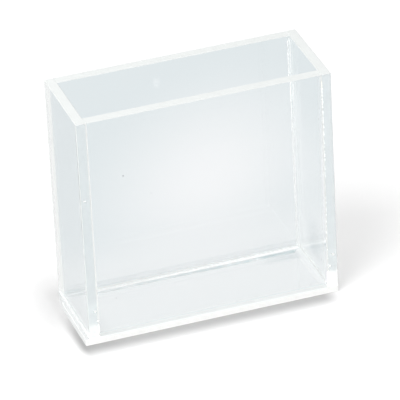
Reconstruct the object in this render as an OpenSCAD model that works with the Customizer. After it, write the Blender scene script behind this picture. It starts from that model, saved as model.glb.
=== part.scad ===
// Rectangular glass cell, open at the top: four upright plates cemented together on a base plate.
// The origin is in the middle of the base plate's underside, +X runs along the wide plates, +Y
// points from the front plate to the back plate and +Z points up.

/* [Walls] */
// Width of the wall box, over the two side plates
wall_box_w = 80; // [40:1:160]
// Depth of the wall box, over the front and back plates
wall_box_d = 30.8; // [15:0.1:80]
// Height of the wall plates
wall_h = 73.5; // [20:0.5:150]
// Thickness of the two side plates
side_t = 3.1; // [1.5:0.1:6]
// Thickness of the front and back plates
face_t = 3.3; // [1.5:0.1:6]

/* [Base] */
// Thickness of the base plate
base_t = 2.2; // [1:0.1:6]
// Mean overhang of the base plate past the side plates
base_overhang = 0.7; // [0.5:0.1:4]
// Distance that the wall box is off the base plate's middle, towards +X
wall_shift = 0.5; // [0:0.1:0.5]
// Leg of the cut across each corner of the base plate
base_corner = 0.4; // [0.2:0.1:3]
// Length of the slanted cut at the base plate's back left corner, which takes up the overhang there
corner_slant = 7; // [1:0.5:12]

/* [Ground edges] */
// Leg of the small bevel ground along the exposed edges of every plate
arris = 0.2; // [0.05:0.05:0.5]

/* [Cement] */
// Thickness of the cement film in every joint
film_t = 0.1; // [0.02:0.01:0.4]
// Leg of the cement fillet round the floor
floor_fillet = 1.3; // [0.3:0.1:3]
// Leg of the cement fillet in each upright corner
corner_fillet = 0.7; // [0.3:0.1:3]
// Distance from the rim down to the top of the upright fillets
fillet_drop = 1; // [0.5:0.1:10]

/* [Hidden] */

$fn = 96;
glass_tint = [0.84, 0.94, 0.94, 0.5];
cement_tint = [0.93, 0.96, 0.94, 0.8];

// Radius of a fillet's hollow, as a multiple of its leg: over 1, so that it meets the glass at an angle
hollow_ratio = 1.25;

base_w = wall_box_w + 2 * base_overhang;
wall_z = base_t + film_t;
inner_w = wall_box_w - 2 * side_t;
inner_d = wall_box_d - 2 * face_t;
face_w = inner_w - 2 * film_t;
left_ledge = base_overhang + wall_shift;
fillet_top = wall_z + wall_h - fillet_drop;

// Leg of a corner cut before (0) or after (1) the corner, going round: a cut is one leg or a pair
function cut_leg(cut, side) = is_list(cut) ? cut[side] : cut;

// Rectangle with its own cut on each corner, in the order low left, low right, high right, high left
module cut_rectangle(w, h, cuts) {
    corners = [[0, 0], [w, 0], [w, h], [0, h]];
    along = [[1, 0], [0, 1], [-1, 0], [0, -1]];
    polygon([for (i = [0 : 3]) each cuts[i] == 0
        ? [corners[i]]
        : [corners[i] - cut_leg(cuts[i], 0) * along[(i + 3) % 4],
           corners[i] + cut_leg(cuts[i], 1) * along[i]]]);
}

// Glass plate with its low corner at the origin, cut to its outlines from above, the front and the side
module glass_plate(size, top_cuts, front_cuts, side_cuts) {
    intersection() {
        linear_extrude(size.z)
            cut_rectangle(size.x, size.y, top_cuts);
        translate([0, size.y, 0])
            rotate([90, 0, 0])
                linear_extrude(size.y)
                    cut_rectangle(size.x, size.z, front_cuts);
        rotate([90, 0, 90])
            linear_extrude(size.x)
                cut_rectangle(size.y, size.z, side_cuts);
    }
}

// Section of a cement fillet, in the corner between the X axis and the Y axis
module fillet_section(leg) {
    radius = hollow_ratio * leg;
    centre = (leg + sqrt(2 * radius * radius - leg * leg)) / 2;
    difference() {
        square(leg);
        translate([centre, centre])
            circle(radius);
    }
}

// Moves what is drawn about the middle of the wall box to its place on the base
module on_walls() {
    translate([wall_shift, 0, 0])
        children();
}

module base_plate() {
    color(glass_tint)
        translate([-base_w / 2, -wall_box_d / 2, 0])
            glass_plate([base_w, wall_box_d, base_t],
                        [base_corner, base_corner, base_corner, [left_ledge - film_t, corner_slant]],
                        [arris, arris, arris, arris],
                        [arris, arris, arris, arris]);
}

// Side plate on the -X side of the wall box: only the edge in the floor's cement is left sharp
module side_plate() {
    translate([-wall_box_w / 2, -wall_box_d / 2, wall_z])
        glass_plate([side_t, wall_box_d, wall_h],
                    [arris, arris, arris, arris],
                    [arris, 0, arris, arris],
                    [arris, arris, arris, arris]);
}

module left_side_plate() {
    color(glass_tint)
        on_walls()
            side_plate();
}

module right_side_plate() {
    color(glass_tint)
        on_walls()
            mirror([1, 0, 0])
                side_plate();
}

// Wide plate on the -Y side of the wall box: the edges that the cement covers are left sharp
module face_plate() {
    translate([-face_w / 2, -wall_box_d / 2, wall_z])
        glass_plate([face_w, face_t, wall_h],
                    [arris, arris, 0, 0],
                    [0, 0, 0, 0],
                    [arris, 0, arris, arris]);
}

module front_plate() {
    color(glass_tint)
        on_walls()
            face_plate();
}

module back_plate() {
    color(glass_tint)
        on_walls()
            mirror([0, 1, 0])
                face_plate();
}

// Fillets round the floor, one along the foot of each wall
module floor_fillets() {
    for (side = [0, 1])
        mirror([side, 0, 0])
            translate([-inner_w / 2, inner_d / 2, base_t])
                rotate([90, 0, 0])
                    linear_extrude(inner_d)
                        fillet_section(floor_fillet);
    for (side = [0, 1])
        mirror([0, side, 0])
            translate([-inner_w / 2, -inner_d / 2, base_t])
                rotate([90, 0, 90])
                    linear_extrude(inner_w)
                        fillet_section(floor_fillet);
}

// Cement between the base plate and the foot of the walls
module floor_film() {
    difference() {
        translate([-wall_box_w / 2 + arris, -wall_box_d / 2 + arris, base_t])
            cube([wall_box_w - 2 * arris, wall_box_d - 2 * arris, film_t]);
        translate([-inner_w / 2, -inner_d / 2, base_t - film_t])
            cube([inner_w, inner_d, 3 * film_t]);
    }
}

module floor_seam() {
    color(cement_tint)
        on_walls() {
            floor_film();
            floor_fillets();
        }
}

// Upright cement joint at the -X, -Y corner of the wall box: the film between two plates and its fillet
module upright_seam() {
    translate([-inner_w / 2, -wall_box_d / 2 + arris, wall_z])
        cube([film_t, face_t - arris, wall_h - arris]);
    difference() {
        translate([-inner_w / 2, -inner_d / 2, base_t])
            linear_extrude(fillet_top - base_t)
                fillet_section(corner_fillet);
        floor_fillets();
    }
}

module front_left_seam() {
    color(cement_tint)
        on_walls()
            upright_seam();
}

module front_right_seam() {
    color(cement_tint)
        on_walls()
            mirror([1, 0, 0])
                upright_seam();
}

module back_left_seam() {
    color(cement_tint)
        on_walls()
            mirror([0, 1, 0])
                upright_seam();
}

module back_right_seam() {
    color(cement_tint)
        on_walls()
            mirror([1, 0, 0])
                mirror([0, 1, 0])
                    upright_seam();
}

base_plate();
left_side_plate();
right_side_plate();
front_plate();
back_plate();
front_left_seam();
front_right_seam();
back_left_seam();
back_right_seam();
floor_seam();
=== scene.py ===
"""Rectangular glass cell, open at the top, finished around its CAD frame.

Run as a script, it gives the five glass plates their finish, frosts their ground edges, lays the
cement in the joints, traps the bubbles in it, leaves darker bands, a smudge and specks on the
glass, and sets the table, the lamp and the camera. Most parts have a painted glow, a painted shade
lies on the cell's floor near the right back corner, and a painted light band runs down that corner.
"""

import math

import bmesh
import bpy
from bpy.props import FloatProperty, FloatVectorProperty, PointerProperty
from bpy.types import Operator, Panel, PropertyGroup
from mathutils import Matrix, Vector, noise


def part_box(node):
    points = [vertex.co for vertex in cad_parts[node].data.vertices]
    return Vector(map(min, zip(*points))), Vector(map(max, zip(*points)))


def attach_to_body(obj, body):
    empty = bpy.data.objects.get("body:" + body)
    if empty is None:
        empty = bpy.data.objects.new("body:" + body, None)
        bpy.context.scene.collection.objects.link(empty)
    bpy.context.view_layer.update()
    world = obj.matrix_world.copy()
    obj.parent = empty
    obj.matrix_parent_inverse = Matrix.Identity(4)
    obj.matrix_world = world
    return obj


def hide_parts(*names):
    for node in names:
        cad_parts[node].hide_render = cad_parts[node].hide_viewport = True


bl_info = {
    "name": "Cemented Glass Cell",
    "version": (1, 0, 0),
    "blender": (4, 5, 0),
    "location": "3D View > Sidebar > Glass Cell",
    "description": "Finishes, cement, bubbles and stage for a cell of cemented glass plates",
    "category": "Object",
}

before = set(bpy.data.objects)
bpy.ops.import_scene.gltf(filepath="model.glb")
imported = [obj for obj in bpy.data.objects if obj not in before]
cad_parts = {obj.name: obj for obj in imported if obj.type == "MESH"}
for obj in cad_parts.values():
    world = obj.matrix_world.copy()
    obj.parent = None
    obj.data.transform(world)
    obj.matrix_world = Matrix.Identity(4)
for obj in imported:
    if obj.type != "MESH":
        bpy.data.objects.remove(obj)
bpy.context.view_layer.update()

MM = 0.001
BODY = "root"

# Corners of the plates and of the room that they enclose
BASE_LOW, BASE_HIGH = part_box("base_plate")
LEFT_LOW, LEFT_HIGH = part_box("left_side_plate")
RIGHT_LOW, RIGHT_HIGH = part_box("right_side_plate")
FRONT_LOW, FRONT_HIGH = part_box("front_plate")
BACK_LOW, BACK_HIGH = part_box("back_plate")
ROOM_LOW = Vector((LEFT_HIGH.x, FRONT_HIGH.y, BASE_HIGH.z))
ROOM_HIGH = Vector((RIGHT_LOW.x, BACK_LOW.y, LEFT_HIGH.z))
ROOM_MIDDLE = (ROOM_LOW + ROOM_HIGH) / 2
ROOM_HALF = (ROOM_HIGH - ROOM_LOW) / 2
FOOT_Z = LEFT_LOW.z
# Length of the slanted cut at the base plate's back left corner, which takes up the ledge there
CORNER_SLANT = 7 * MM
# Leg of the small bevel ground along the plates' exposed edges
ARRIS = 0.2 * MM
PLATES = ("base_plate", "left_side_plate", "right_side_plate", "front_plate", "back_plate")
CORNERS = {"front_left": (-1, -1), "front_right": (1, -1), "back_left": (-1, 1), "back_right": (1, 1)}

# Strings of bubbles in the outer grooves of the upright joints: name, corner, heights of both ends,
# distances off the joint's middle at both ends, count, and the smallest and the largest size, in mm
STRINGS = (
    ("dashes", "front_right", (73.4, 55.5), (0.20, 0.34), 19, (0.40, 0.10, 0.8), (0.54, 0.14, 1.6)),
    ("breaks", "front_right", (54.5, 41.0), (0.34, 0.36), 13, (0.30, 0.10, 0.7), (0.44, 0.14, 1.5)),
    ("specks", "front_right", (38.0, 17.0), (0.30, -0.15), 11, (0.12, 0.10, 0.5), (0.24, 0.16, 1.5)),
    ("foot", "front_right", (15.0, 4.5), (0.0, 0.45), 8, (0.14, 0.10, 0.4), (0.30, 0.18, 1.3)),
    ("patches", "front_left", (71.5, 60.0), (0.10, 0.05), 5, (0.30, 0.10, 1.6), (0.60, 0.14, 2.8)),
    ("streak", "front_left", (57.0, 44.0), (0.05, 0.0), 6, (0.20, 0.10, 1.2), (0.36, 0.14, 2.4)),
    ("line", "front_left", (41.0, 5.0), (0.0, 0.10), 13, (0.20, 0.10, 2.2), (0.40, 0.14, 4.0)),
)
# Share of the strings in a corner that shows
SHOWN = {"front_right": 0.82, "front_left": 0.12}
# Depth of the strings' middle below the outer face
GROOVE = 0.02 * MM

# Specks of dirt: place, the axis across which each lies flat on the glass, and size, in millimetres
SPECKS = (
    ((-25.9, -15.43, 55.7), 1, 0.42),
    ((-17.6, -15.43, 47.9), 1, 0.24),
    ((38.4, -15.43, 21.1), 1, 0.26),
    ((-37.7, -15.43, 4.4), 1, 0.30),
    ((37.37, -8.4, 9.1), 0, 0.42),
    ((-24.5, 5.7, 2.23), 2, 0.30),
    ((32.7, -10.7, 2.23), 2, 0.24),
    ((34.0, 11.4, 2.23), 2, 0.34),
)
# Splashes of cement on the plates' front ends: place, and size along X and Z, in millimetres
SPLASHES = (
    ((-38.2, -15.44, 49.8), (1.1, 0.30)),
    ((39.15, -15.44, 13.5), (0.9, 0.8)),
    ((38.0, -15.44, 9.6), (0.5, 0.9)),
    ((-37.2, -15.44, 11.4), (0.9, 0.7)),
    ((-36.6, -15.44, 8.0), (0.8, 0.5)),
)

# How the film of cement in each upright joint looks: dry share, cover, body, gleam, gleam at the
# rim. The gleams are painted glows; the back left film is nearly all painted glow, for the bright
# strip at the left plate's back edge.
FILMS = {"front_left": (0.18, 0.25, 1.0, 0.80, 0.80), "front_right": (0.09, 0.35, 1.0, 0.80, 0.80),
         "back_left": (1.2, 1.0, 0.15, 0.81, 0.83), "back_right": (0.22, 0.22, 1.0, 0.85, 0.85)}

RIM_COLOUR = (0.96, 0.985, 0.975)
# Tone painted over the plates' front ends, to stand in for what the glass shows there
END_PAINTED_TONE = (0.86, 0.92, 0.94)
# Tones of the thin sheets: blue for the darker bands and painted floor shade, white for the painted light
# band and smudge
DARKENING_BLUE = (0.30, 0.47, 0.54)
PALE_SHEET_WHITE = (0.95, 0.97, 0.96)
# Room kept between a frosted layer and its plate
CLEARANCE = 0.015 * MM
# Depth by which the cement wets into the glass, so that light passes from one to the other
BITE = 0.015 * MM
# Name of the map that a bead of cement carries
CHART = "bead_chart"
# Two faces of a bead that meet at more than this have a crisp edge between them
SHARP = math.radians(40)
# Faces across a bead, and the depth of its hollow as a share of the way to its corner
BEAD_FACES = 7
HOLLOW = 0.30
# Distance from the rim down to the top of the upright beads, and the length over which they taper there
BEAD_DROP = 1.0 * MM
BEAD_TAPER = 1.2 * MM
# Distance between the sections of the cement that runs round the floor
LOOP_STEP = 0.45 * MM
# Share of the way from the room's middle past which a place is at the wall
AT_WALL = 0.999

# Glow that the table shows through the glass: its middle, its slant, and its reach along X and Y
GLOW_MIDDLE = (27.7 * MM, 70.5 * MM)
GLOW_SLANT = 0.411
GLOW_REACH = (52 * MM, 80 * MM)
# Shade on the table close round the base plate: its reach along X and Y, and its depth
CONTACT_REACH = (3.6 * MM, 8.5 * MM)
CONTACT_DEPTH = 0.53
# Wider shade at the left of the base plate: its middle, its reach along X and Y, and its depth
SIDE_MIDDLE = (BASE_LOW.x + 2 * MM, 10 * MM)
SIDE_REACH = (20 * MM, 36 * MM)
SIDE_DEPTH = 0.28
# Half the table's width, and the gap that the cell stands above it
TABLE_HALF = 2.5
TABLE_GAP = 0.05 * MM
# Place and size of the soft lamp
LAMP_PLACE = (-0.42, -0.30, 0.85)
LAMP_SIZE = 0.5
# Height of the point that the camera turns about, and its shift to its own right and upwards
AIM_HEIGHT = 40 * MM
CAMERA_SHIFT = (2.23 * MM, -5.82 * MM)
# Most bounces of light in the glass, and most clear layers that it passes straight through
GLASS_BOUNCES = 24
CLEAR_BOUNCES = 32


def number(name, about, default, low=0.0, high=1.0, kind="NONE"):
    """Setting that takes a number between two bounds."""
    return FloatProperty(name=name, description=about, default=default, min=low, max=high, subtype=kind)


def colour(name, about, default):
    """Setting that takes a colour."""
    return FloatVectorProperty(name=name, description=about, default=default, size=3, min=0, max=1,
                               subtype="COLOR")


class GlassSettings(PropertyGroup):
    """Sizes and colours of the glass plates."""

    tint: colour("Tint", "Colour that a long way through the glass keeps", (0.30, 0.62, 0.66))
    density: number("Density", "Strength of the tint, per metre of glass", 2.0, 0.0, 200.0)
    ior: number("IOR", "Index of refraction of the glass", 1.5, 1.3, 1.9)
    rim_cover: number("Rim frosting", "Share of the rim's frosting that is opaque", 0.86, kind="FACTOR")
    # The ends' layer paints the tone that the glass shows over them, with a painted glow
    end_cover: number("End frosting", "Share of the plate ends' haze that is opaque", 0.40, kind="FACTOR")
    skin: number("Frosted layer", "Thickness of the frosted layer on a ground edge",
                 0.02 * MM, 0.0, 0.2 * MM, "DISTANCE")


class CementSettings(PropertyGroup):
    """Sizes and colours of the cement in the joints."""

    tone: colour("Tone", "Colour of the set cement", (0.975, 0.985, 0.975))
    corner_leg: number("Corner bead", "Leg of the bead in an upright corner",
                       0.65 * MM, 0.1 * MM, 3 * MM, "DISTANCE")
    floor_leg: number("Floor bead", "Leg of the bead round the floor",
                      1.25 * MM, 0.1 * MM, 3 * MM, "DISTANCE")
    right_reach: number("Right reach", "Times that the right floor bead is wider", 1.55, 0.5, 3.0)
    back_reach: number("Back reach", "Times that the back floor bead is wider", 1.75, 0.5, 3.0)
    wave: number("Waviness", "Share by which a bead's leg wanders", 0.25, 0.0, 0.9, "FACTOR")


class StageSettings(PropertyGroup):
    """Light, table and camera."""

    sky: number("Sky", "Strength of the even white light from all round", 0.56, 0.0, 2.0)
    mirrored: number("Mirrored sky", "Strength of the sky in reflections", 0.95, 0.0, 2.0)
    key_power: number("Lamp", "Power of the soft lamp", 5.2, 0.0, 100.0, "POWER")
    azimuth: number("Azimuth", "Turn of the camera about the cell",
                    math.radians(-17.74), -math.pi, math.pi, "ANGLE")
    elevation: number("Elevation", "Angle that the camera looks down by",
                      math.radians(29.69), -math.pi / 2, math.pi / 2, "ANGLE")
    roll: number("Roll", "Tilt of the camera about its line of sight",
                 math.radians(-2.96), -math.pi, math.pi, "ANGLE")
    distance: number("Distance", "From the cell's middle to the camera", 1.37275, 0.1, 10.0, "DISTANCE")
    lens: number("Lens", "Focal length in millimetres on a 36 mm sensor", 409.04, 10.0, 1000.0)


class Wire:
    """A shader socket, so that shader maths reads as an expression."""

    def __init__(self, finish, socket):
        self.finish = finish
        self.socket = socket

    def maths(self, operation, *values):
        return self.finish.node("ShaderNodeMath", {"operation": operation}, dict(enumerate(values)))

    def __add__(self, other):
        return self.maths("ADD", self, other)

    def __sub__(self, other):
        return self.maths("SUBTRACT", self, other)

    def __rsub__(self, other):
        return self.maths("SUBTRACT", other, self)

    def __mul__(self, other):
        return self.maths("MULTIPLY", self, other)

    def __truediv__(self, other):
        return self.maths("DIVIDE", self, other)

    def __pow__(self, other):
        return self.maths("POWER", self, other)

    def __abs__(self):
        return self.maths("ABSOLUTE", self)

    def highest(self, other):
        return self.maths("MAXIMUM", self, other)

    def lowest(self, other):
        return self.maths("MINIMUM", self, other)

    __radd__ = __add__
    __rmul__ = __mul__


class Finish:
    """A node tree that is built by calls: a material's, or the world's."""

    def __init__(self, tree):
        self.tree = tree

    @classmethod
    def material(cls, name):
        made = bpy.data.materials.new(name)
        made.use_nodes = True
        finish = cls(made.node_tree)
        finish.result = made
        finish.shader = made.node_tree.nodes["Principled BSDF"]
        finish.output = made.node_tree.nodes["Material Output"]
        return finish

    def feed(self, socket, value):
        if isinstance(value, Wire):
            self.tree.links.new(value.socket, socket)
        else:
            socket.default_value = value

    def node(self, kind, settings=None, inputs=None, output=0):
        made = self.tree.nodes.new(kind)
        for key, value in (settings or {}).items():
            setattr(made, key, value)
        for key, value in (inputs or {}).items():
            self.feed(made.inputs[key], value)
        return Wire(self, made.outputs[output])

    def principled(self, **values):
        """Sets sockets of the Principled shader: base_color stands for Base Color."""
        if "emission_color" in values:
            values["emission_strength"] = 1.0
        for key, value in values.items():
            name = key.replace("_", " ").title().replace("Ior", "IOR")
            self.feed(self.shader.inputs[name], value)

    def place(self):
        return self.node("ShaderNodeTexCoord", output="Object")

    def chart(self):
        """A bead's own map: metres along it, and the share of the way across its face."""
        run, across, _ = self.axes(self.node("ShaderNodeUVMap", {"uv_map": CHART}))
        return run, across

    def axes(self, place):
        split = self.node("ShaderNodeSeparateXYZ", inputs={0: place}).socket.node
        return [Wire(self, socket) for socket in split.outputs]

    def stretched(self, place, scale):
        return self.node("ShaderNodeVectorMath", {"operation": "MULTIPLY"}, {0: place, 1: scale})

    def grain(self, place, size, detail=2.0, roughness=0.5):
        """Soft noise, 0 to 1, whose lumps are about size metres across."""
        return self.node("ShaderNodeTexNoise", inputs={
            "Vector": place, "Scale": 1 / size, "Detail": detail, "Roughness": roughness})

    def ease(self, value, low, high, start=0.0, end=1.0):
        """start below low, end above high, and a smooth passage between them."""
        return self.node("ShaderNodeMapRange", {"interpolation_type": "SMOOTHSTEP"}, {
            "Value": value, "From Min": low, "From Max": high, "To Min": start, "To Max": end})

    def mix(self, share, first, second):
        """Colour that passes from first to second as share goes from 0 to 1."""
        first, second = [end if isinstance(end, Wire) else (*end, 1.0) for end in (first, second)]
        return self.node("ShaderNodeMix", {"data_type": "RGBA"}, {0: share, 6: first, 7: second}, 2)

    def faded(self, tone, share):
        """Colour times a number."""
        return self.node("ShaderNodeVectorMath", {"operation": "SCALE"}, {0: tone, 3: share})

    def rays(self, *kinds):
        """Whether a ray is of each kind, as 0 or 1."""
        outputs = self.node("ShaderNodeLightPath").socket.node.outputs
        return [Wire(self, outputs["Is " + kind + " Ray"]) for kind in kinds]

    def length(self, one, two):
        return (one * one + two * two) ** 0.5

    def bump(self, height, strength, distance):
        return self.node("ShaderNodeBump", inputs={
            "Height": height, "Strength": strength, "Distance": distance})


def dimmed(tone, share):
    """Colour of which only a share is left."""
    return [share * channel for channel in tone]


def grey(level):
    return [level] * 3


# ---- finishes

def polished_glass(settings):
    """Clear sheet glass: faint wipe marks, and a green-blue tint that gathers with depth."""
    finish = Finish.material("polished_glass")
    place = finish.place()
    wipes = finish.grain(finish.stretched(place, (0.25, 0.25, 4.0)), 9 * MM, 3.0, 0.6)
    smears = finish.ease(wipes, 0.58, 0.80)
    finish.principled(
        base_color=finish.mix(smears, grey(1.0), (0.985, 0.99, 0.99)),
        roughness=smears * 0.03,
        ior=settings.ior,
        transmission_weight=1.0)
    finish.feed(finish.output.inputs["Volume"], finish.node("ShaderNodeVolumeAbsorption", inputs={
        "Color": (*settings.tint, 1.0), "Density": settings.density}))
    return finish.result


def frosted_edge(name, tone, cover, depth, gleam=0.0):
    """Ground glass edge: a thin white tooth, finely pitted, that hides a share of the glass below.

    cover is that share, and depth is how much it changes from patch to patch. gleam is a painted
    glow: emission that stands in for the light that comes out through the tooth."""
    finish = Finish.material(name)
    place = finish.place()
    pits = finish.grain(place, 0.25 * MM, 3.0, 0.65)
    clouds = finish.grain(place, 3.5 * MM, 2.0)
    patch = finish.ease(clouds * 0.4 + pits * 0.6, 0.30, 0.70)
    finish.principled(
        base_color=finish.mix(patch, dimmed(tone, 0.985), tone),
        roughness=finish.ease(pits, 0.3, 0.7, 0.45, 0.7),
        specular_ior_level=0.3,
        alpha=cover + depth * (patch - 0.5),
        emission_color=finish.mix(patch, grey(0.9 * gleam), grey(gleam)),
        normal=finish.bump(pits, 0.25, 0.02 * MM))
    return finish.result


def bead_cement(name, settings, cover, edges, core, highlight_band=(0.5, 0.1, 0.0), gleam=0.30,
                clear=(0, 0.0, 1.0, 1.0, 1.0), left_shade=0.0):
    """Set cement in a corner: white along its edges and streaks, dark along its core, clear on the glass.

    cover is the share that shows all over the face, and edges is how white its edges and streaks are;
    the white edges are painted light lines. core gives the core line's place across the bead, its half
    width and how dark it is, and the dark core line is a painted shade. The argument after core gives
    the same for a broad white band, a painted highlight. gleam is a painted glow, emission given to
    the white parts. clear gives an axis, two places on it, and the share of the cement that shows at
    each. The last argument is how dark the whole face is at its left end, a painted shade."""
    finish = Finish.material(name)
    run, across = finish.chart()
    place = finish.axes(finish.place())
    flow = finish.node("ShaderNodeCombineXYZ", inputs={0: run * 0.22, 1: across * MM, 2: 0.0})
    threads = finish.grain(flow, 0.28 * MM, 3.0, 0.6)
    lumps = finish.grain(flow, 0.9 * MM, 2.0)
    middle, half, depth = core
    rim = finish.ease(abs(across - 0.5), 0.28, 0.42)
    line = finish.ease(abs(across - middle), half * 0.5, half * 1.4, 1.0, 0.0)
    dark = line * finish.ease(lumps, 0.35, 0.55, 0.6, 1.0) * depth
    # The core line's painted shade deepens towards the right; at the left end the whole face gets a painted
    # shade
    dark = dark * finish.ease(place[0], ROOM_LOW.x, ROOM_HIGH.x, 0.8, 1.25)
    dark = dark.highest(finish.ease(place[0], ROOM_LOW.x + 5 * MM, ROOM_LOW.x + 8 * MM, left_shade, 0.0))
    middle, half, strength = highlight_band
    band = finish.ease(abs(across - middle), half * 0.3, half * 1.4, 1.0, 0.0) * strength
    white = finish.ease(threads, 0.42, 0.62, 0.0, 0.35) * edges
    white = white + (rim * finish.ease(lumps, 0.38, 0.55, 0.35, 1.0) * edges).highest(band)
    axis, start, end, least, most = clear
    shown = finish.ease(across, -0.5, -0.1) * finish.ease(place[axis], start, end, least, most)
    finish.principled(
        base_color=finish.mix(dark, settings.tone, (0.30, 0.40, 0.42)),
        roughness=finish.ease(threads, 0.3, 0.7, 0.12, 0.3),
        alpha=shown * (white + dark + cover).lowest(1.0),
        emission_color=finish.mix(dark, grey(gleam), (0.10, 0.14, 0.15)),
        normal=finish.bump(threads, 0.3, 0.1 * MM))
    return finish.result


def cement_film(name, dry, cover, body, gleam, top_gleam):
    """Cement between two plates: clear, with white streaks over its dry share, where it left the glass.

    cover is the share of the streaks that hides what lies behind, and body is how much of the light
    they throw back themselves. gleam is a painted glow, emission that stands in for the light that
    comes out through them, and top_gleam is the same at the rim. The crest is ground flush, in the
    rim's colour, and the cement is half covered, with a faint painted glow, where it fills the groove
    between the bevels in front."""
    finish = Finish.material(name)
    place = finish.place()
    streaks = finish.grain(finish.stretched(place, (1.0, 1.0, 0.35)), 0.9 * MM, 3.0, 0.6)
    edge = 0.72 - 0.60 * dry
    bare = finish.ease(streaks, edge - 0.06, edge + 0.06)
    _, depth, height = finish.axes(place)
    groove = finish.ease(depth, FRONT_LOW.y + 0.10 * MM, FRONT_LOW.y + ARRIS, 1.0, 0.0)
    crest = finish.ease(height, LEFT_HIGH.z - 0.45 * MM, LEFT_HIGH.z - 0.25 * MM)
    pale = [dimmed(tone, body) for tone in ((0.90, 0.93, 0.91), (0.98, 0.98, 0.95))]
    shine = [dimmed((0.985, 1.0, 0.985), glow) for glow in (gleam, top_gleam)]
    shine = finish.mix(finish.ease(height, 40 * MM, LEFT_HIGH.z), *shine)
    shine = finish.mix(groove, shine, grey(0.18))
    finish.principled(
        base_color=finish.mix(crest, finish.mix(streaks, *pale), RIM_COLOUR),
        roughness=finish.ease(streaks, 0.3, 0.7, 0.3, 0.5),
        alpha=(bare * cover).highest(crest).highest(groove * 0.5),
        emission_color=finish.mix(crest, shine, grey(0.0)))
    return finish.result


def foot_cement():
    """Cement under the walls: pale grey-blue where it is sound, white where it left the plate's foot.

    Both have a painted glow, strong in the white, which stands in for the light thrown back where the
    foot came loose. It is darker in the back left corner, a painted shade."""
    finish = Finish.material("foot_cement")
    place = finish.place()
    x, y, _ = finish.axes(place)
    ragged = finish.grain(finish.stretched(place, (1.0, 0.25, 1.0)), 0.7 * MM, 3.0, 0.65)
    off_until = FRONT_LOW.y + 5.0 * MM
    under_side = finish.ease(abs(x - ROOM_MIDDLE.x), ROOM_HIGH.x - 1.2 * MM, ROOM_HIGH.x)
    left_off = finish.ease(y + (ragged - 0.5) * 9 * MM, off_until - 0.4 * MM, off_until + 0.4 * MM, 1.0, 0.0)
    white = left_off * under_side
    # Painted shade in the back left corner: a darker tone and a weaker painted glow
    corner = finish.ease(x, ROOM_LOW.x, ROOM_LOW.x + 0.5 * MM) * finish.ease(y, ROOM_HIGH.y - MM, ROOM_HIGH.y)
    corner = corner * finish.ease(x, ROOM_LOW.x + 5 * MM, ROOM_LOW.x + 8 * MM, 1.0, 0.0)
    sound = finish.mix(corner, (0.72, 0.79, 0.81), (0.50, 0.58, 0.61))
    shine = finish.mix(corner, (0.455, 0.455, 0.44), (0.34, 0.36, 0.36))
    finish.principled(
        base_color=finish.mix(white, sound, (0.98, 0.98, 0.97)),
        roughness=finish.ease(ragged, 0.3, 0.7, 0.4, 0.6),
        alpha=finish.ease(ragged, 0.3, 0.7, 0.93, 1.0),
        emission_color=finish.mix(white, shine, (0.80, 0.80, 0.79)))
    return finish.result


def white_patch(name, holes):
    """White patch with a painted glow, worn through over its holes share; it lies over the feet of the
    plates' front ends, and makes the splashes.
    """
    finish = Finish.material(name)
    place = finish.place()
    lumps = finish.grain(finish.stretched(place, (1.0, 1.0, 0.6)), 0.8 * MM, 3.0, 0.6)
    whole = finish.ease(lumps, 0.2 + 0.4 * holes, 0.3 + 0.4 * holes)
    finish.principled(
        base_color=finish.mix(finish.ease(lumps, 0.35, 0.65),
                              (0.95, 0.94, 0.91), (0.99, 0.99, 0.985)),
        roughness=finish.ease(lumps, 0.3, 0.7, 0.35, 0.6),
        alpha=whole * 0.95,
        emission_color=finish.mix(lumps, (0.25, 0.25, 0.24), grey(0.31)),
        normal=finish.bump(lumps, 0.3, 0.1 * MM))
    return finish.result


def tinted_sheet(name, tone, gleam, strength, fades):
    """Thin tinted sheet on the glass with a painted glow: the darker bands, a smudge, a painted shade and
    a painted light band, as the callers lay them. fades gives, for an axis, the four places on it where
    the sheet starts, is full, begins to fade and ends."""
    finish = Finish.material(name)
    place = finish.place()
    axes = finish.axes(place)
    wisps = finish.grain(finish.stretched(place, (0.3, 0.6, 1.0)), 2.0 * MM, 3.0, 0.6)
    body = finish.ease(wisps, 0.25, 0.65, 0.6, 1.4) * strength
    for axis, (start, full, fading, end) in fades.items():
        body = body * finish.ease(axes[axis], start, full)
        body = body * finish.ease(axes[axis], fading, end, 1.0, 0.0)
    finish.principled(
        base_color=finish.mix(wisps, dimmed(tone, 0.95), tone),
        roughness=finish.ease(wisps, 0.3, 0.7, 0.5, 0.8),
        alpha=body,
        emission_color=finish.mix(wisps, grey(0.9 * gleam), grey(gleam)))
    return finish.result


def bubble_white(name, shown):
    """Wall of a trapped bubble, which throws the light back almost white, and warmer near the rim, with a
    painted glow.
    """
    finish = Finish.material(name)
    place = finish.place()
    gleam = finish.grain(place, 0.5 * MM, 2.0)
    warm = finish.ease(finish.axes(place)[2], 70.5 * MM, 72 * MM)
    white = finish.mix(gleam, (0.90, 0.93, 0.92), (1.0, 1.0, 0.98))
    finish.principled(
        base_color=finish.mix(warm, white, (0.97, 0.94, 0.84)),
        roughness=finish.ease(gleam, 0.3, 0.7, 0.15, 0.35),
        alpha=finish.ease(gleam, 0.3, 0.7, 0.7, 1.0) * shown,
        emission_color=finish.mix(gleam, grey(0.26), grey(0.34)))
    return finish.result


def dust_grit():
    """Dark grit and dust."""
    finish = Finish.material("dust_grit")
    place = finish.place()
    grain = finish.grain(place, 0.15 * MM, 3.0)
    finish.principled(
        base_color=finish.mix(grain, (0.05, 0.06, 0.06), (0.22, 0.21, 0.20)),
        roughness=finish.ease(grain, 0.3, 0.7, 0.7, 0.95))
    return finish.result


# ---- mesh helpers

def link_mesh(name, mesh, materials):
    """New object at the origin for a mesh, linked to the scene."""
    made = bpy.data.objects.new(name, mesh)
    bpy.context.scene.collection.objects.link(made)
    for material in materials:
        mesh.materials.append(material)
    return made


def attach(piece):
    """Makes a piece ride on the cell."""
    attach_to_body(piece, BODY)
    return piece


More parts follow.
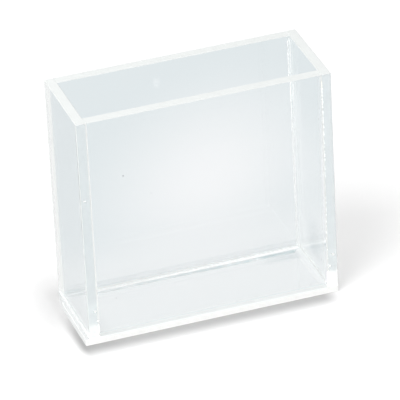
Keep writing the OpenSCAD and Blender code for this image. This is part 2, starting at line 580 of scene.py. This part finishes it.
def sweep(shape, rings, looped):
    """Adds a closed skin over rings of points, capped at both ends unless it runs round in a loop.

    The first point of a ring lies in the corner. Its chart runs along the sweep and over the face from
    the second point to the last, and is -1 across on the two sides that lie on the glass."""
    chart = shape.loops.layers.uv.new(CHART)
    rows = [[shape.verts.new(point) for point in ring] for ring in rings]
    size = len(rows[0])
    pairs = list(zip(rows, rows[1:]))
    if looped:
        pairs.append((rows[-1], rows[0]))
    run = 0.0
    for one, two in pairs:
        step = (two[0].co - one[0].co).length
        for i in range(size):
            j = (i + 1) % size
            face = shape.faces.new((one[i], one[j], two[j], two[i]))
            across = ((i - 1) / (size - 2), (j - 1) / (size - 2)) if 0 < i < size - 1 else (-1.0, -1.0)
            for loop, u, v in zip(face.loops, (run, run, run + step, run + step),
                                  (across[0], across[1], across[1], across[0])):
                loop[chart].uv = (u, v)
        run += step
    if not looped:
        for row in (list(reversed(rows[0])), rows[-1]):
            face = shape.faces.new(row)
            for loop in face.loops:
                loop[chart].uv = (run, 0.5)


def finished_mesh(shape, name):
    """Mesh of a shape: doubles merged, faces turned outwards, smooth but for its sharp edges."""
    bmesh.ops.remove_doubles(shape, verts=shape.verts, dist=0.001 * MM)
    bmesh.ops.dissolve_degenerate(shape, edges=shape.edges, dist=0.0005 * MM)
    bmesh.ops.recalc_face_normals(shape, faces=shape.faces)
    mesh = bpy.data.meshes.new(name)
    shape.to_mesh(mesh)
    shape.free()
    mesh.shade_smooth()
    mesh.set_sharp_from_angle(angle=SHARP)
    return mesh


def shaped_piece(name, shape, materials):
    """Object made of a shape, which rides on the cell."""
    return attach(link_mesh(name, finished_mesh(shape, name), materials))


def wander(along, seed, size):
    """Smooth wandering value, about -1 to 1, that changes over size metres."""
    return noise.noise(Vector((along / size, 7.3 * seed, 2.1 * seed)))


def bead_ring(corner, start, end, hollow):
    """Section of a bead in a corner, from start on one wall, over its hollowed face, to end on the other."""
    inward = ((start - corner) + (end - corner)) * 0.5 * hollow
    ring = [corner]
    for i in range(BEAD_FACES + 1):
        t = i / BEAD_FACES
        ring.append(start.lerp(end, t) - inward * (4 * t * (1 - t)))
    return ring


def upright_joint(side_x, side_y):
    """Bounds of an upright joint: the side plate's face, and the face plate's end, inside and outside."""
    low, high = (FRONT_LOW, FRONT_HIGH) if side_y < 0 else (BACK_LOW, BACK_HIGH)
    wall_x, glass_x = (ROOM_LOW.x, low.x) if side_x < 0 else (ROOM_HIGH.x, high.x)
    inner_y, outer_y = (high.y, low.y) if side_y < 0 else (low.y, high.y)
    return wall_x, glass_x, inner_y, outer_y


# ---- pieces

def edge_frosting(node, name, material, chosen, thickness):
    """Thin layer for the ground surface of a plate, over the faces whose normals are chosen."""
    shape = bmesh.new()
    shape.from_mesh(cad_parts[node].data)
    bmesh.ops.remove_doubles(shape, verts=shape.verts, dist=0.001 * MM)
    unwanted = [face for face in shape.faces if not chosen(face.normal)]
    bmesh.ops.delete(shape, geom=unwanted, context="FACES")
    bmesh.ops.recalc_face_normals(shape, faces=shape.faces)
    for vertex in shape.verts:
        ways = {tuple(round(c, 3) for c in face.normal) for face in vertex.link_faces}
        push = sum((Vector(way) for way in ways), Vector())
        vertex.co += push.normalized() * CLEARANCE
    mesh = bpy.data.meshes.new(name)
    shape.to_mesh(mesh)
    shape.free()
    piece = link_mesh(name, mesh, [material])
    shell = piece.modifiers.new("Thickness", "SOLIDIFY")
    shell.thickness = thickness
    shell.offset = 1.0
    plain = bpy.data.meshes.new_from_object(piece.evaluated_get(bpy.context.evaluated_depsgraph_get()))
    piece.modifiers.clear()
    piece.data = plain
    return attach(piece)


def upright_bead(shape, side_x, side_y, settings, spread, seed):
    """Bead of cement that fills one upright corner of the room, from the floor's bead to near the rim.

    spread is how many times wider it is on the face plate."""
    wall_x, _, wall_y, _ = upright_joint(side_x, side_y)
    low = ROOM_LOW.z + settings.floor_leg * 0.6
    high = ROOM_HIGH.z - BEAD_DROP
    steps = 240
    rings = []
    for i in range(steps + 1):
        z = low + (high - low) * i / steps
        leg = settings.corner_leg * min(1.0, (high - z) / BEAD_TAPER + 0.15)
        sway_x = wander(z, seed, 6 * MM) + 0.5 * wander(z, seed + 9, 1.6 * MM)
        sway_y = wander(z, seed + 3, 5 * MM) + 0.5 * wander(z, seed + 5, 1.3 * MM)
        wide = leg * spread * (1 + settings.wave * sway_x)
        deep = leg * (1 + settings.wave * sway_y)
        corner = Vector((wall_x + side_x * BITE, wall_y + side_y * BITE, z))
        rings.append(bead_ring(corner, corner - Vector((side_x * wide, 0, 0)),
                               corner - Vector((0, side_y * deep, 0)), HOLLOW))
    sweep(shape, rings, False)


def upright_film(shape, side_x, side_y, seed):
    """Sheet of cement between a side plate and the end of a face plate, which fills the groove outside."""
    wall_x, glass_x, inner_y, outer_y = upright_joint(side_x, side_y)
    near_x = wall_x + side_x * BITE
    far_x = glass_x - side_x * BITE
    throat = outer_y - side_y * ARRIS
    inner = inner_y - side_y * 0.05 * MM
    steps = 150
    rings = []
    for i in range(steps + 1):
        z = FOOT_Z + CLEARANCE + (ROOM_HIGH.z - 0.05 * MM - FOOT_Z) * i / steps
        hang = 0.04 * MM + 0.015 * MM * wander(z, seed, 4 * MM)
        edge = outer_y - side_y * hang
        flare = side_x * (ARRIS - hang)
        section = ((near_x, throat), (near_x + flare, edge), (far_x - flare, edge),
                   (far_x, throat), (far_x, inner), (near_x, inner))
        rings.append([Vector((x, y, z)) for x, y in section])
    sweep(shape, rings, False)


def floor_loop():
    """Places round the foot of the room's walls, as shares, -1 to 1, of the way out from its middle."""
    stops = [Vector(stop) for stop in ((-1, -1), (1, -1), (1, 1), (-1, 1))]
    shares = []
    for start, end in zip(stops, stops[1:] + stops[:1]):
        count = int(((end - start) * ROOM_HALF.xy).length / LOOP_STEP)
        shares += [start.lerp(end, i / count) for i in range(count)]
    return shares


def floor_bead(shape, settings):
    """Bead of cement round the floor, mitred in the corners, that grows to the right."""
    low = ROOM_LOW - Vector((BITE, BITE, BITE))
    high = ROOM_HIGH + Vector((BITE, BITE, 0))
    rings = []
    for k, share in enumerate(floor_loop()):
        rightward = (share.x + 1) / 2
        growth = 0.85 + 0.35 * rightward
        reach, climb = 1.0, growth
        if share.y > AT_WALL:
            reach, climb = settings.back_reach, 0.5 + 0.6 * rightward
        elif share.x > AT_WALL:
            reach, climb = settings.right_reach, 0.4
        run = LOOP_STEP * k
        out = settings.floor_leg * reach * (growth + settings.wave * 0.25 * wander(run, 31, 12 * MM))
        up = settings.floor_leg * (climb + settings.wave * 0.2 * wander(run, 37, 11 * MM))
        x = ROOM_MIDDLE.x + share.x * (ROOM_HALF.x + BITE)
        y = ROOM_MIDDLE.y + share.y * (ROOM_HALF.y + BITE)
        corner = Vector((x, y, low.z))
        toe = Vector((min(max(x, low.x + out), high.x - out), min(max(y, low.y + out), high.y - out), low.z))
        rings.append(bead_ring(corner, corner + Vector((0, 0, up)), toe, HOLLOW))
    sweep(shape, rings, True)


def floor_film(shape):
    """Sheet of cement under the feet of the walls, with a ragged outer edge."""
    low_z = BASE_HIGH.z - BITE
    high_z = FOOT_Z + BITE
    whole = Vector((RIGHT_HIGH.x - LEFT_LOW.x, BACK_HIGH.y - FRONT_LOW.y)) / 2
    rings = []
    for k, share in enumerate(floor_loop()):
        hang = 0.08 * MM + 0.04 * MM * wander(LOOP_STEP * k, 41, 2.5 * MM)
        foot = ROOM_MIDDLE.xy + share * ROOM_HALF.xy
        edge = ROOM_MIDDLE.xy + share * (whole - Vector((hang, hang)))
        section = ((foot, low_z), (edge, low_z), (edge, high_z), (foot, high_z))
        rings.append([Vector((*place, z)) for place, z in section])
    sweep(shape, rings, True)


def squeezed_bead(shape):
    """Lumpy cement that was squeezed out on to the base plate's ledge, along the left side plate."""
    corner_x = LEFT_LOW.x + BITE
    ledge = LEFT_LOW.x - BASE_LOW.x - 0.1 * MM
    low = BASE_LOW.y + 0.3 * MM
    high = BASE_HIGH.y - 0.3 * MM
    steps = 150
    rings = []
    for i in range(steps + 1):
        y = low + (high - low) * i / steps
        ends = min(1.0, (y - low) / (1.0 * MM) + 0.2, (high - y) / (1.0 * MM) + 0.2)
        room = min(1.0, (BASE_HIGH.y - y) / CORNER_SLANT)
        out = ledge * room * ends * (0.98 + 0.10 * wander(y, 51, 2.4 * MM) + 0.05 * wander(y, 53, 0.7 * MM))
        up = 1.25 * MM * (0.3 + 0.7 * room) * ends
        up *= 1 + 0.25 * wander(y, 57, 3.0 * MM) + 0.12 * wander(y, 59, 0.8 * MM)
        corner = Vector((corner_x, y, BASE_HIGH.z - BITE))
        rings.append(bead_ring(corner, corner + Vector((0, 0, up)), corner - Vector((out, 0, 0)), -0.20))
    sweep(shape, rings, False)


def thin_sheet(name, corner, along, across, inward, material, seed, ragged=(0.08, 4 * MM)):
    """Very thin sheet on the glass: one side runs straight along its corner, the other wanders.

    inward is the way off the glass. ragged gives the share of the sheet by which its far side wanders,
    and the size of the lumps."""
    corner, along, across, inward = [Vector(part) for part in (corner, along, across, inward)]
    near = inward * 0.02 * MM
    thick = inward * 0.01 * MM
    share, lump = ragged
    steps = 60
    rings = []
    for i in range(steps + 1):
        start = corner + along * (i / steps) + near
        end = start + across * (1 - share + share * wander(along.length * i / steps, seed, lump))
        rings.append([start, end, end + thick, start + thick])
    shape = bmesh.new()
    sweep(shape, rings, False)
    return shaped_piece(name, shape, [material])


def grain_piece(name, middle, size, material, seed):
    """Rough grain of dirt, or splash of cement, on the glass."""
    shape = bmesh.new()
    bmesh.ops.create_icosphere(shape, subdivisions=2, radius=0.5)
    for vertex in shape.verts:
        rough = 1 + 0.25 * noise.noise(vertex.co * 2.5 + Vector((seed, 0, 0)))
        vertex.co = Vector([c * s * rough for c, s in zip(vertex.co, size)]) + middle
    return shaped_piece(name, shape, [material])


# ---- bubbles

def bubble_tree(name, material):
    """Node tree that strings bubbles of random size and place along a line."""
    tree = bpy.data.node_groups.new(name, "GeometryNodeTree")
    sockets = {"Start": "Vector", "End": "Vector", "Count": "Int", "Scatter": "Vector",
               "Smallest": "Vector", "Largest": "Vector", "Seed": "Int"}
    for label, kind in sockets.items():
        tree.interface.new_socket(label, in_out="INPUT", socket_type="NodeSocket" + kind)
    tree.interface.new_socket("Geometry", in_out="OUTPUT", socket_type="NodeSocketGeometry")
    maker = Finish(tree)
    outputs = maker.node("NodeGroupInput").socket.node.outputs
    given = {label: Wire(maker, outputs[label]) for label in sockets}
    line = maker.node("GeometryNodeMeshLine", {"mode": "END_POINTS"}, {
        "Count": given["Count"], "Start Location": given["Start"], "Offset": given["End"]})
    shift = maker.node("FunctionNodeRandomValue", {"data_type": "FLOAT_VECTOR"}, {
        0: maker.faded(given["Scatter"], -1.0), 1: given["Scatter"], "Seed": given["Seed"]})
    moved = maker.node("GeometryNodeSetPosition", inputs={"Geometry": line, "Offset": shift})
    size = maker.node("FunctionNodeRandomValue", {"data_type": "FLOAT_VECTOR"}, {
        0: given["Smallest"], 1: given["Largest"], "Seed": given["Seed"] + 101})
    ball = maker.node("GeometryNodeMeshIcoSphere", inputs={"Radius": 0.5, "Subdivisions": 2})
    copies = maker.node("GeometryNodeInstanceOnPoints", inputs={
        "Points": moved, "Instance": ball, "Scale": size})
    real = maker.node("GeometryNodeRealizeInstances", inputs={"Geometry": copies})
    smooth = maker.node("GeometryNodeSetShadeSmooth", inputs={"Geometry": real})
    coated = maker.node("GeometryNodeSetMaterial", inputs={"Geometry": smooth, "Material": material})
    maker.feed(tree.nodes.new("NodeGroupOutput").inputs[0], coated)
    return tree


def bubble_string(name, tree, **values):
    """Plain mesh of one string of bubbles, made by the node tree."""
    maker = link_mesh(name, bpy.data.meshes.new(name), [])
    modifier = maker.modifiers.new("Bubbles", "NODES")
    modifier.node_group = tree
    for socket in tree.interface.items_tree:
        if socket.in_out == "INPUT":
            modifier[socket.identifier] = values[socket.name.lower()]
    plain = bpy.data.meshes.new_from_object(maker.evaluated_get(bpy.context.evaluated_depsgraph_get()))
    maker.modifiers.clear()
    maker.data = plain
    return attach(maker)


# ---- operators

class CELL_OT_plates(Operator):
    """Give the glass plates their finish and frost their ground edges, most of them with a painted glow"""

    bl_idname = "cell.plates"
    bl_label = "Glass plates"

    def execute(self, context):
        settings = context.scene.cell_glass
        glass = polished_glass(settings)
        rim = frosted_edge("frosted_rim", RIM_COLOUR, settings.rim_cover, 0.05)
        # Painted glow on these ground parts; the base front edge's white strip is painted light from within
        # the plate
        foot = frosted_edge("frosted_base_side", (0.95, 0.965, 0.96), settings.rim_cover, 0.08, 0.08)
        front = frosted_edge("frosted_base_front", (0.97, 0.975, 0.96), settings.rim_cover, 0.08, 0.215)
        arris = frosted_edge("frosted_arris", (0.90, 0.93, 0.925), 0.45, 0.08, 0.18)
        # The front ends get a layer that paints the glass's tone over them, and the back ends a painted glow
        left_end = frosted_edge("left_end_painted_tone", END_PAINTED_TONE, settings.end_cover, 0.03, 0.12)
        right_end = frosted_edge("right_end_painted_tone", END_PAINTED_TONE, settings.end_cover, 0.03, 0.17)
        ends = {"left_side_plate": left_end, "right_side_plate": right_end}
        back_end = frosted_edge("back_end_painted_glow", (0.90, 0.92, 0.91), 0.15, 0.03, 0.30)
        bevel = frosted_edge("frosted_foot", (0.97, 0.97, 0.96), settings.rim_cover, 0.05, 0.60)
        for node in PLATES:
            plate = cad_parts[node]
            plate.data.materials.clear()
            plate.data.materials.append(glass)
            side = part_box(node)[0].x
            # Name of each ground part, its finish, and which way its faces look: a bevel's look slantwise
            layers = [("arris", arris, lambda way: abs(way.x) > 0.3 and abs(way.y) > 0.3
                       and (way.y < 0 or way.x * side > 0)),
                      ("rim", rim, lambda way: way.z > 0.5)]
            if node == "base_plate":
                layers = [("edge", foot, lambda way: abs(way.z) < 0.8 and way.y > -0.9),
                          ("front", front, lambda way: way.y < -0.5 and abs(way.z) < 0.8)]
            elif node == "back_plate":
                layers = layers[1:]
            elif node in ends:
                layers += [("ends", ends[node], lambda way: way.y < -0.9),
                           ("back", back_end, lambda way: way.y > 0.9),
                           ("foot", bevel, lambda way: -0.95 < way.z < -0.3)]
            for part, finish, chosen in layers:
                edge_frosting(node, node + "_ground_" + part, finish, chosen, settings.skin)
        return {"FINISHED"}


class CELL_OT_beads(Operator):
    """Lay the beads of cement round the floor and up the four corners"""

    bl_idname = "cell.beads"
    bl_label = "Cement beads"

    def execute(self, context):
        settings = context.scene.cell_cement
        # The white edges and bands of these beads are painted light, and their dark core lines painted shade
        pale = bead_cement("upright_cement", settings, 0.04, 0.22, (0.5, 0.16, 0.03), gleam=0.45)
        lined = bead_cement("lined_cement", settings, 0.10, 0.85, (0.52, 0.12, 0.45), gleam=0.42,
                            clear=(2, 24 * MM, 62 * MM, 0.12, 1.0))
        for seed, (corner, (side_x, side_y)) in enumerate(CORNERS.items()):
            shape = bmesh.new()
            spread, cement = (1.3, lined) if corner == "back_right" else (1.0, pale)
            upright_bead(shape, side_x, side_y, settings, spread, seed)
            bead = shaped_piece(corner + "_bead", shape, [cement])
            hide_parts(corner + "_seam")
        shape = bmesh.new()
        floor_bead(shape, settings)
        sides = bead_cement("floor_cement", settings, 0.03, 0.16, (0.5, 0.2, 0.0),
                            highlight_band=(0.50, 0.20, 0.12), gleam=0.55)
        # The back floor bead: a painted highlight band, and a painted shade at its left end
        behind = bead_cement("crowned_cement", settings, 0.05, 0.06, (0.77, 0.19, 0.64),
                             highlight_band=(0.40, 0.19, 0.56), gleam=0.40,
                             clear=(0, -37 * MM, -27 * MM, 0.8, 1.0), left_shade=0.35)
        before = bead_cement("thin_cement", settings, 0.03, 0.15, (0.5, 0.2, 0.0))
        bead = shaped_piece("floor_bead", shape, [sides, behind, before])
        for face in bead.data.polygons:
            if abs(face.center.y) - ROOM_HALF.y > abs(face.center.x - ROOM_MIDDLE.x) - ROOM_HALF.x:
                face.material_index = 1 if face.center.y > 0 else 2
        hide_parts("floor_seam")
        return {"FINISHED"}


class CELL_OT_upright_films(Operator):
    """Lay the film of cement between the plates in the four upright joints"""

    bl_idname = "cell.upright_films"
    bl_label = "Upright films"

    def execute(self, context):
        for seed, (corner, (side_x, side_y)) in enumerate(CORNERS.items()):
            shape = bmesh.new()
            upright_film(shape, side_x, side_y, seed + 20)
            film = cement_film(corner + "_film_cement", *FILMS[corner])
            shaped_piece(corner + "_film", shape, [film])
        return {"FINISHED"}


class CELL_OT_floor_cement(Operator):
    """Lay the cement under the walls and along the left ledge, and white patches with a painted glow over the
    feet of the plates' front ends
    """

    bl_idname = "cell.floor_cement"
    bl_label = "Floor cement"

    def execute(self, context):
        settings = context.scene.cell_cement
        shape = bmesh.new()
        floor_film(shape)
        shaped_piece("floor_film", shape, [foot_cement()])
        cement = bead_cement("squeezed_cement", settings, 0.26, 0.4, (0.7, 0.08, 0.2), gleam=0.12)
        shape = bmesh.new()
        squeezed_bead(shape)
        shaped_piece("squeezed_bead", shape, [cement])
        for name, start, end, height, holes in (
                ("right_smear", RIGHT_LOW.x - 0.5 * MM, RIGHT_HIGH.x - 0.15 * MM, 6.4 * MM, 0.0),
                ("left_smear", LEFT_LOW.x + 0.3 * MM, LEFT_HIGH.x + 0.2 * MM, 5.6 * MM, 0.55)):
            white = white_patch(name + "_cement", holes)
            thin_sheet(name, (start, BASE_LOW.y, FOOT_Z - 0.1 * MM), (end - start, 0, 0), (0, 0, height),
                       (0, -1, 0), white, 73, (0.12, 1.2 * MM))
        return {"FINISHED"}


class CELL_OT_bubbles(Operator):
    """Trap the bubbles in the upright joints"""

    bl_idname = "cell.bubbles"
    bl_label = "Bubbles"

    def execute(self, context):
        trees = {}
        for corner, shown in SHOWN.items():
            trees[corner] = bubble_tree(corner + "_string", bubble_white(corner + "_bubbles", shown))
        for name, corner, heights, offsets, count, least, most in STRINGS:
            side_x, side_y = CORNERS[corner]
            wall_x, glass_x, _, outer_y = upright_joint(side_x, side_y)
            start, end = [((wall_x + glass_x) / 2 + offset * MM, outer_y - side_y * GROOVE, height * MM)
                          for height, offset in zip(heights, offsets)]
            bubble_string(corner + "_" + name, trees[corner], start=start, end=end, count=count,
                          scatter=(0.04 * MM, 0.01 * MM, 0.5 * MM),
                          smallest=[size * MM for size in least], largest=[size * MM for size in most],
                          seed=len(name) + count)
        return {"FINISHED"}


class CELL_OT_dirt(Operator):
    """Leave darker bands, a painted shade, a painted light band, a smudge and specks of dirt on the glass"""

    bl_idname = "cell.dirt"
    bl_label = "Haze and specks"

    def execute(self, context):
        def past(start, *steps):
            """Places that are so many millimetres past a start."""
            return [start + step * MM for step in steps]

        floor = BASE_HIGH.z
        low, high = ROOM_LOW, ROOM_HIGH
        # Darker band along the foot of the back wall
        dim = tinted_sheet("dark_back_band", DARKENING_BLUE, 0.15, 0.05, {2: past(floor, 0.8, 1.8, 2.9, 3.6)})
        thin_sheet("back_dark_band", (low.x + 0.8 * MM, high.y, floor + 0.8 * MM),
                   (high.x - low.x - 1.6 * MM, 0, 0), (0, 0, 3.1 * MM), (0, -1, 0), dim, 61)
        # Darker band low on the right wall near the back
        dim = tinted_sheet("dark_wall_band", DARKENING_BLUE, 0.15, 0.05, {
            2: past(floor, 2.5, 7.0, 10.0, 22.0), 1: past(high.y, -23.0, -17.0, -13.0, -6.0)})
        thin_sheet("wall_dark_band", (high.x, high.y - 6.0 * MM, floor + 2.5 * MM),
                   (0, -17.5 * MM, 0), (0, 0, 20.0 * MM), (-1, 0, 0), dim, 63)
        # Painted shade on the cell's floor near the right back corner
        dim = tinted_sheet("painted_floor_shade", DARKENING_BLUE, 0.10, 0.07, {
            0: past(0, 22.0, 31.0, 35.5, 37.0), 1: past(0, 5.0, 7.5, 9.6, 11.0)})
        thin_sheet("floor_painted_shade", (22.0 * MM, 5.0 * MM, floor),
                   (high.x - 22.5 * MM, 0, 0), (0, 6.0 * MM, 0), (0, 0, 1), dim, 65)
        # Painted light band down the right wall along the back corner
        pale = tinted_sheet("painted_light_band", PALE_SHEET_WHITE, 0.55, 0.05, {
            1: past(high.y, -8.2, -4.0, -1.5, -0.6), 2: past(floor, 2.0, 16.0, 50.0, 72.0)})
        thin_sheet("corner_painted_light", (high.x, high.y - 0.6 * MM, floor + 1.5 * MM),
                   (0, 0, 71 * MM), (0, -9.4 * MM, 0), (-1, 0, 0), pale, 67)
        pale = tinted_sheet("smudge", PALE_SHEET_WHITE, 0.55, 0.05, {
            0: past(0, -7.0, -5.8, -5.2, -4.0), 2: past(0, 66.5, 68.5, 69.5, 71.5)})
        thin_sheet("back_smudge", (-7.2 * MM, high.y, 66.0 * MM),
                   (3.4 * MM, 0, 0), (0, 0, 6.0 * MM), (0, -1, 0), pale, 69)
        grit = dust_grit()
        for count, (place, flat, size) in enumerate(SPECKS):
            sides = Vector((size, 0.8 * size, 0.7 * size)) * MM
            sides[flat] = 0.08 * MM
            grain_piece("speck_" + str(count + 1), Vector(place) * MM, sides, grit, count)
        white = white_patch("splashed_cement", 0.0)
        for count, (place, (wide, tall)) in enumerate(SPLASHES):
            sides = Vector((wide, 0.08, tall)) * MM
            name = "splash_" + str(count + 1)
            grain_piece(name, Vector(place) * MM, sides, white, count + 20)
        return {"FINISHED"}


class CELL_OT_stage(Operator):
    """Set the table, the light and the camera"""

    bl_idname = "cell.stage"
    bl_label = "Stage"

    def execute(self, context):
        settings = context.scene.cell_stage
        scene = context.scene
        scene.view_settings.view_transform = "Standard"
        scene.cycles.max_bounces = GLASS_BOUNCES
        scene.cycles.transmission_bounces = GLASS_BOUNCES
        scene.cycles.glossy_bounces = GLASS_BOUNCES
        scene.cycles.transparent_max_bounces = CLEAR_BOUNCES
        self.table()
        self.sky(scene, settings)
        self.lamp(settings.key_power)
        self.camera(scene, settings)
        return {"FINISHED"}

    def table(self):
        """White table: it keeps shadows, and through the glass it looks pale blue-grey with a soft glow."""
        half = TABLE_HALF
        z = BASE_LOW.z - TABLE_GAP
        mesh = bpy.data.meshes.new("table")
        mesh.from_pydata([(-half, -half, z), (half, -half, z), (half, half, z), (-half, half, z)],
                         [], [(0, 1, 2, 3)])
        finish = Finish.material("white_table")
        table = link_mesh("table", mesh, [finish.result])
        seen, through, glossy = finish.rays("Camera", "Transmission", "Glossy")
        x, y, _ = finish.axes(finish.place())
        lift = finish.mix(glossy, grey(0.0), (0.08, 0.10, 0.11))
        lift = finish.mix(seen, lift, grey(0.42))
        shown = finish.mix(through, lift, self.glow(finish, x, y))
        plain = finish.mix(through, grey(0.74), (0.04, 0.045, 0.045))
        dim = 1 - seen * self.shade(finish, x, y)
        finish.principled(
            base_color=finish.faded(plain, dim), roughness=0.9, specular_ior_level=0.0,
            emission_color=finish.faded(shown, dim))

    def glow(self, finish, x, y):
        """What the table shows through the glass: a round glow on a shade that deepens towards the back."""
        far = finish.ease(y, 22 * MM, 52 * MM)
        shaded = finish.mix(far, (0.82, 0.848, 0.858), (0.718, 0.769, 0.788))
        back = y - GLOW_MIDDLE[1]
        side = x - GLOW_MIDDLE[0] - back * GLOW_SLANT
        away = finish.length(side / GLOW_REACH[0], back / GLOW_REACH[1])
        pool = finish.mix(finish.ease(away, 0.0, 1.0, 1.0, 0.0), shaded, (0.895, 0.90, 0.91))
        return finish.faded(pool, finish.ease(x, ROOM_LOW.x - 1 * MM, ROOM_LOW.x + 7 * MM, 0.86, 1.0))

    def shade(self, finish, x, y):
        """Share of the light that the cell keeps off: close round its foot, and wider at its left."""
        beyond = [(abs(place - (low + high) / 2) - (high - low) / 2).highest(0.0) / reach
                  for place, low, high, reach in zip((x, y), BASE_LOW, BASE_HIGH, CONTACT_REACH)]
        close = finish.ease(finish.length(*beyond), 0.1, 1.0, 1.0, 0.0)
        close = close * finish.ease(x, BASE_HIGH.x - 6 * MM, BASE_HIGH.x + 1 * MM, 1.0, 0.15)
        close = close * finish.ease(y, BASE_LOW.y, 9 * MM, 1.0, 0.12)
        aside = finish.length((x - SIDE_MIDDLE[0]) / SIDE_REACH[0], (y - SIDE_MIDDLE[1]) / SIDE_REACH[1])
        return close * CONTACT_DEPTH + finish.ease(aside, 0.0, 1.0, SIDE_DEPTH, 0.0)

    def sky(self, scene, settings):
        """Even white light from all round, with its own strength in reflections."""
        world = bpy.data.worlds.new("studio")
        world.use_nodes = True
        scene.world = world
        finish = Finish(world.node_tree)
        seen, through, soft = finish.rays("Camera", "Transmission", "Diffuse")
        even = finish.mix(soft, grey(settings.mirrored), grey(settings.sky))
        background = world.node_tree.nodes["Background"]
        finish.feed(background.inputs["Color"], finish.mix(seen.highest(through), even, grey(1.0)))
        background.inputs["Strength"].default_value = 1.0

    def lamp(self, power):
        light = bpy.data.lights.new("soft_lamp", "AREA")
        light.shape = "DISK"
        light.size = LAMP_SIZE
        light.energy = power
        holder = bpy.data.objects.new("soft_lamp", light)
        bpy.context.scene.collection.objects.link(holder)
        holder.location = LAMP_PLACE
        holder.rotation_euler = (-Vector(LAMP_PLACE)).to_track_quat("-Z", "Y").to_euler()

    def camera(self, scene, settings):
        turn, tip, roll = settings.azimuth, settings.elevation, settings.roll
        back = Vector((math.sin(turn) * math.cos(tip), -math.cos(turn) * math.cos(tip), math.sin(tip)))
        right = Vector((0, 0, 1)).cross(back).normalized()
        up = back.cross(right)
        across = right * math.cos(roll) + up * math.sin(roll)
        upward = up * math.cos(roll) - right * math.sin(roll)
        middle = Vector((ROOM_MIDDLE.x, 0, AIM_HEIGHT))
        eye = middle + back * settings.distance + across * CAMERA_SHIFT[0] + upward * CAMERA_SHIFT[1]
        data = bpy.data.cameras.new("camera")
        data.lens = settings.lens
        data.clip_end = 100
        holder = bpy.data.objects.new("camera", data)
        scene.collection.objects.link(holder)
        axes = Matrix((across, upward, back)).transposed().to_4x4()
        holder.matrix_world = Matrix.Translation(eye) @ axes
        scene.camera = holder


STEPS = (CELL_OT_plates, CELL_OT_beads, CELL_OT_upright_films, CELL_OT_floor_cement, CELL_OT_bubbles,
         CELL_OT_dirt, CELL_OT_stage)


class CELL_PT_sidebar(Panel):
    """Lists the settings and the steps"""

    bl_idname = "CELL_PT_sidebar"
    bl_label = "Glass Cell"
    bl_space_type = "VIEW_3D"
    bl_region_type = "UI"
    bl_category = "Glass Cell"

    def draw(self, context):
        scene = context.scene
        for group in (scene.cell_glass, scene.cell_cement, scene.cell_stage):
            box = self.layout.box()
            for name in group.__annotations__:
                box.prop(group, name)
        for step in STEPS:
            self.layout.operator(step.bl_idname)


GROUPS = {"cell_glass": GlassSettings, "cell_cement": CementSettings, "cell_stage": StageSettings}


def register():
    for name, group in GROUPS.items():
        bpy.utils.register_class(group)
        setattr(bpy.types.Scene, name, PointerProperty(type=group))
    for step in STEPS:
        bpy.utils.register_class(step)
    bpy.utils.register_class(CELL_PT_sidebar)


def unregister():
    bpy.utils.unregister_class(CELL_PT_sidebar)
    for step in reversed(STEPS):
        bpy.utils.unregister_class(step)
    for name, group in reversed(GROUPS.items()):
        delattr(bpy.types.Scene, name)
        bpy.utils.unregister_class(group)


def main():
    register()
    bpy.ops.cell.plates()
    bpy.ops.cell.beads()
    bpy.ops.cell.upright_films()
    bpy.ops.cell.floor_cement()
    bpy.ops.cell.bubbles()
    bpy.ops.cell.dirt()
    bpy.ops.cell.stage()


if __name__ == "__main__":
    main()
